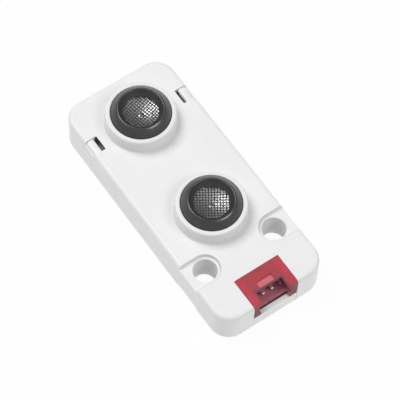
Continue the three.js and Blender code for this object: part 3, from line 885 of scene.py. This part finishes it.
def cone(name, y):
    """The shallow spun cone, with a small domed rivet at its middle."""
    low, high = node_box(f"{name}_cone")
    skin = 0.18
    foot = 0.7
    dome = 0.62
    dome_curve = 1.1
    floor_z = low.z + skin
    profile = [(0, low.z), (foot, low.z), (high.x, high.z - 0.12)]
    profile += [(high.x, high.z - 0.02), (high.x - 0.05, high.z)]
    rise = math.degrees(math.acos(dome / dome_curve))
    centre_z = floor_z - dome_curve * math.sin(math.radians(rise))
    profile += [(foot, floor_z)] + arc((0, centre_z), dome_curve, rise, 86, 8)
    profile += [(0, centre_z + dome_curve)]
    finished(turned(profile, (0, y), steps=96), f"{name}_resonator", ALUMINIUM, "base", (f"{name}_cone",),
             sharp=25)


TRANSDUCER_PARTS = {"bender_plate": BRASS, "piezo_disc": CERAMIC, "base": BLACK_MOULDING,
                    "pin_left": TIN, "pin_right": TIN}


def transducer(name, y):
    can(name, y)
    wire_mesh(name, y)
    cone(name, y)
    for part, material in TRANSDUCER_PARTS.items():
        refine(f"{name}_{part}", material)


# ---- Socket ----

def pin_place(number):
    """Middle of one pin across the socket, its height, and where its tail comes down."""
    low, high = node_box(f"socket_pin_{number}")
    half = (high.x - low.x) / 2
    return low.x + half, high.z - half, high.y - half


def socket():
    """The housing: an open-mouthed box with a notched roof, and a frosted recess in the roof."""
    low, high = SOCKET_LOW, SOCKET_HIGH
    beyond = low.y - 1
    floor_top = 4.6
    pin_hole = 0.3
    shell = rectangle(low, high, radius=0.12, steps=5)
    notch = rectangle((-NOTCH_HALF_WIDTH, beyond), (NOTCH_HALF_WIDTH, NOTCH_BACK), radius=0.2, steps=5)
    recess = rectangle((-RECESS_HALF_WIDTH, RECESS_Y[0]), (RECESS_HALF_WIDTH, RECESS_Y[1]),
                       radius=0.1, steps=4)
    body = slab(shell, rounded_layers(low.z, high.z, bottom_radius=0.05, top_radius=0.1))
    cuts = [
        block((-CAVITY_HALF_WIDTH, CAVITY_HALF_WIDTH), (beyond, CAVITY_BACK), (CAVITY_FLOOR, CAVITY_ROOF)),
        slab(notch, flared_layers(CAVITY_ROOF - 0.1, high.z, lip=0.08)),
        block((-FLOOR_HALF_WIDTH, FLOOR_HALF_WIDTH), (beyond, FLOOR_FRONT), (low.z - 1, floor_top)),
        slab(recess, flared_layers(high.z - RECESS_DEPTH, high.z, lip=0.05)),
    ]
    for number in PINS:
        x, z, _ = pin_place(number)
        y = (CAVITY_BACK - 0.5, high.y + 1)
        cuts.append(block((x - pin_hole, x + pin_hole), y, (z - pin_hole, z + pin_hole)))
    for cut in cuts:
        body = combined(body, cut)
    finished(body, "socket_body", RED, "base", ("socket_housing",), edge=0.05)


def socket_pin(number):
    """A square pin with a tapered tip, bent down through the board to a pointed tail."""
    node = f"socket_pin_{number}"
    low, high = node_box(node)
    x, z, tail_y = pin_place(number)
    half = (high.x - low.x) / 2
    bend = 0.5
    bend_steps = 6
    tip_length, tip_size = 0.15, 0.8
    tail_length, tail_size = 0.3, 0.5
    path = [(low.y, z, tip_size, 0), (low.y + tip_length, z, 1, 0)]
    for i in range(bend_steps + 1):
        turn = math.radians(90 * i / bend_steps)
        path.append((tail_y - bend + bend * math.sin(turn), z - bend + bend * math.cos(turn), 1, turn))
    path.append((tail_y, low.z + tail_length, 1, math.pi / 2))
    path.append((tail_y, low.z, tail_size, math.pi / 2))
    rings = []
    for pin_y, pin_z, size, turn in path:
        reach = half * size
        rings.append([(x + across * reach, pin_y + lift * reach * math.sin(turn),
                       pin_z + lift * reach * math.cos(turn))
                      for across, lift in ((-1, -1), (1, -1), (1, 1), (-1, 1))])
    finished(solid_through(rings), f"socket_contact_{number}", TIN, "base", (node,),
             edge=0.03)


# ---- Circuit board ----

def lead(at, way, root, knee_z, turned_about):
    """One gull-wing lead, drawn outwards (`way`) from a chip's side."""
    foot_z = BOARD_TOP + PAD_THICKNESS + LEAD_THICKNESS / 2
    path = [(root - 0.1, knee_z), (root + 0.2, knee_z), (root + 0.33, knee_z - 0.08)]
    path += [(root + 0.45, knee_z - 0.35), (root + 0.52, foot_z + 0.12), (root + 0.62, foot_z)]
    path.append((root + 1.05, foot_z))
    half = LEAD_WIDTH / 2
    rings = []
    for here, _, along in bends(path):
        lift = Vector((-along.y, along.x)) * LEAD_THICKNESS / 2
        under, over = here - lift, here + lift
        rings.append([turned_about(at + across, way * point.x, point.y)
                      for across, point in ((-half, under), (half, under), (half, over), (-half, over))])
    return solid_through(rings)


def chip(node, size, leads, upright=False):
    """A moulded chip: a body with drafted sides and a dimple at one corner, and its leads as
    (place along the body, side). An upright chip has its leads along X. It returns the places
    of its leads' feet."""
    middle = node_middle(node)
    high = node_box(node)[1].z
    length, width = size
    low = BOARD_TOP + 0.12
    knee_z = (low + high) / 2
    dimple_depth = 0.06

    def turned_about(along, across, z):
        if upright:
            return (middle.x + across, middle.y + along, z)
        return (middle.x + along, middle.y + across, z)
    half = (width / 2, length / 2) if upright else (length / 2, width / 2)
    outline = rectangle((middle.x - half[0], middle.y - half[1]),
                        (middle.x + half[0], middle.y + half[1]), radius=0.12, steps=4)
    body = slab(outline, [(low, -0.1), (knee_z - 0.1, 0), (knee_z + 0.1, 0),
                          (high - dimple_depth, -0.11), (high, -0.17)])
    dimple = min(0.35, width / 7)
    spot = turned_about(-length / 2 + 2.2 * dimple, -width / 2 + 2.2 * dimple, 0)
    floor = high - dimple_depth
    above = high + 0.5
    cut = turned([(0, floor), (0.8 * dimple, floor), (dimple, above), (0, above)], spot[:2], steps=32)
    finished(combined(body, cut), f"{node}_body", EPOXY, "base", (node,))
    legs = [lead(at, way, width / 2, knee_z, turned_about) for at, way in leads]
    finished(joined(legs), f"{node}_leads", TIN, "base")
    foot = width / 2 + 0.85
    return [turned_about(at, way * foot, 0)[:2] for at, way in leads]


def lead_row(count):
    return [((i - (count - 1) / 2) * LEAD_PITCH, way) for way in SIDES for i in range(count)]


def end_capped(node, name, material):
    """A resistor or capacitor: a body a little smaller than its two end caps. It returns the
    places of its two ends."""
    low, high = node_box(node)
    cap = 0.28
    step = 0.03
    edge = 0.04
    outline = rectangle((low.y, low.z), (high.y, high.z), radius=0.07, steps=4)
    layers = [(low.x, -edge), (low.x + edge, 0), (low.x + cap, 0), (low.x + cap + step, -step)]
    layers += [(high.x - cap - step, -step), (high.x - cap, 0), (high.x - edge, 0), (high.x, -edge)]
    body = slab(outline, layers)
    lay_along_x = Matrix(((0, 0, 1, 0), (1, 0, 0, 0), (0, 1, 0, 0), (0, 0, 0, 1)))
    body.data.transform(lay_along_x)
    finished(body, name, material, "base", (node,))
    middle = node_middle(node)
    return [(middle.x + side * (high.x - low.x) / 2, middle.y) for side in SIDES]


def crystal():
    """A crystal: a flanged ceramic tub with a welded metal lid."""
    low, high = node_box("crystal")
    outline = rectangle(low, high, radius=0.35, steps=8)
    layers = [(low.z, -0.05), (low.z + 0.05, 0), (low.z + 0.4, 0), (low.z + 0.43, -0.14)]
    layers += [(high.z - 0.1, -0.16), (high.z - 0.03, -0.2), (high.z, -0.28)]
    finished(slab(outline, layers), "crystal_case", TIN, "base", ("crystal",))


def pad(spot, half_x, low_y, high_y):
    """A rectangular pad about a spot, from low_y to high_y of it along Y."""
    x, y = spot
    return block((x - half_x, x + half_x), (y + low_y, y + high_y), (ON_BOARD, BOARD_TOP + PAD_THICKNESS))


def copper_ring(spot, inner, outer):
    profile = [(inner, ON_BOARD), (outer, ON_BOARD), (outer, COPPER_TOP), (inner, COPPER_TOP)]
    return turned(profile, spot, steps=28)


def copper(wide_feet, upright_feet, part_ends):
    """Pads, vias and masked tracks on the board's front."""
    pads = [pad(spot, half_x=0.3, low_y=-0.6, high_y=0.5) for spot in wide_feet]
    pads += [pad(spot, half_x=0.5, low_y=-0.3, high_y=0.3) for spot in upright_feet]
    pads += [pad(spot, half_x=0.4, low_y=-0.45, high_y=0.45) for spot in part_ends]
    tracks = []
    shift, step = 0.9, 1.1
    for x, y in wide_feet:
        way = 1 if y > node_middle("ranging_controller").y else -1
        bend = y + way * step
        via = (x + (shift if x < 0 else -shift), bend + way * step)
        tracks.append([(x, y + way * 0.55), (x, bend), (via[0], via[1] - 0.2 * way)])
        pads.append(copper_ring(via, inner=0.14, outer=0.3))
    for x, y in part_ends:
        if abs(x) < abs(node_middle("capacitor_1").x):
            side = 1 if x > 0 else -1
            tracks.append([(x - side * 0.42, y), (x - side * 0.9, y), (x - side * 1.7, y - 0.8)])
    for number in PINS:
        x, _, tail_y = pin_place(number)
        pads.append(copper_ring((x, tail_y), inner=0.5, outer=0.82))
        tracks.append([(x, tail_y + 0.85), (x, tail_y + 3.0), (0.7 * x, tail_y + 5.0),
                       (0.7 * x, tail_y + 9.0)])
    finished(joined(pads), "board_pads", TIN, "base")
    lines = [ribbon(path, TRACK_WIDTH, ON_BOARD, COPPER_TOP) for path in tracks]
    finished(joined(lines), "board_tracks", TRACK, "base")


def marking():
    """Printed lines beside the crystal and the voltage regulator."""
    lines = []
    for node in ("crystal", "voltage_regulator"):
        low, high = node_box(node)
        for side in SIDES:
            y = node_middle(node).y + side * ((high.y - low.y) / 2 + 0.35)
            ends = [(low.x - 0.6, y), (high.x + 0.6, y)]
            lines.append(ribbon(ends, INK_WIDTH, ON_BOARD, BOARD_TOP + INK_THICKNESS))
    finished(joined(lines), "board_marking", INK, "base")


def board():
    refine("circuit_board", BOARD, 0.03)
    wide_feet = chip("ranging_controller", (9.9, 3.9), lead_row(8))
    wide_feet += chip("transducer_driver", (4.9, 3.9), lead_row(4))
    three_leads = [(-0.95, -1), (0.95, -1), (0, 1)]
    upright_feet = chip("voltage_regulator", (2.9, 1.3), three_leads, upright=True)
    crystal()
    part_ends = []
    for number in SMALL_PARTS:
        part_ends += end_capped(f"resistor_{number}", f"chip_resistor_{number}", GLAZE)
        part_ends += end_capped(f"capacitor_{number}", f"chip_capacitor_{number}", TAN)
    copper(wide_feet, upright_feet, part_ends)
    marking()


# ---- Floor, light and camera ----

def floor():
    """A light table: a pale surface that also glows, so that hardly a shadow falls on it."""
    bpy.ops.mesh.primitive_plane_add(size=FLOOR_SIZE, location=(0, 0, -FLOOR_DROP))
    ground = bpy.context.object
    ground.name = "floor"
    material = new_material("pale_floor", grey(0.03), 0.8, Emission_Color=(1, 1, 1, 1),
                            Emission_Strength=FLOOR_GLOW)
    ground.data.materials.append(material)


def soft_light(name, azimuth, elevation, distance, size, power):
    """A square soft box aimed at the object. Azimuth is from +X towards +Y."""
    light = bpy.data.lights.new(name, "AREA")
    light.energy = power
    light.size = size
    lamp = bpy.data.objects.new(name, light)
    turn, lift = math.radians(azimuth), math.radians(elevation)
    way = Vector((math.cos(turn) * math.cos(lift), math.sin(turn) * math.cos(lift), math.sin(lift)))
    lamp.location = way * distance
    lamp.rotation_euler = way.to_track_quat("Z", "Y").to_euler()
    bpy.context.scene.collection.objects.link(lamp)


def surroundings(strength):
    world = bpy.data.worlds.new("studio")
    world.use_nodes = True
    background = world.node_tree.nodes["Background"]
    background.inputs["Color"].default_value = (1, 1, 1, 1)
    background.inputs["Strength"].default_value = strength
    bpy.context.scene.world = world


def camera():
    turn, lift = math.radians(CAMERA_AZIMUTH), math.radians(CAMERA_ELEVATION)
    roll = math.radians(CAMERA_ROLL)
    back = Vector((math.sin(turn) * math.cos(lift), -math.cos(turn) * math.cos(lift), math.sin(lift)))
    level = Vector((math.cos(turn), math.sin(turn), 0))
    upright = back.cross(level)
    right = level * math.cos(roll) + upright * math.sin(roll)
    up = upright * math.cos(roll) - level * math.sin(roll)
    place_mm = back * CAMERA_DISTANCE - right * CAMERA_SHIFT[0] - up * CAMERA_SHIFT[1]
    lens = bpy.data.cameras.new("camera")
    lens.lens = CAMERA_LENS
    lens.sensor_width = 36
    lens.clip_start = 0.01
    viewer = bpy.data.objects.new("camera", lens)
    turn_matrix = Matrix((right, up, back)).transposed().to_4x4()
    viewer.matrix_world = Matrix.Translation(place_mm * MM) @ turn_matrix
    bpy.context.scene.collection.objects.link(viewer)
    bpy.context.scene.camera = viewer


# ---- Everything ----

cover()
latch(-1, "left")
latch(1, "right")
refine("bottom_shell", WHITE, 0.06)
for transducer_name, transducer_y in TRANSDUCERS.items():
    transducer(transducer_name, transducer_y)
socket()
for pin_number in PINS:
    socket_pin(pin_number)
board()

floor()
surroundings(WORLD_STRENGTH)
soft_light("key", **KEY_LIGHT)
soft_light("fill", **FILL_LIGHT)
camera()
bpy.context.scene.view_settings.view_transform = "Standard"
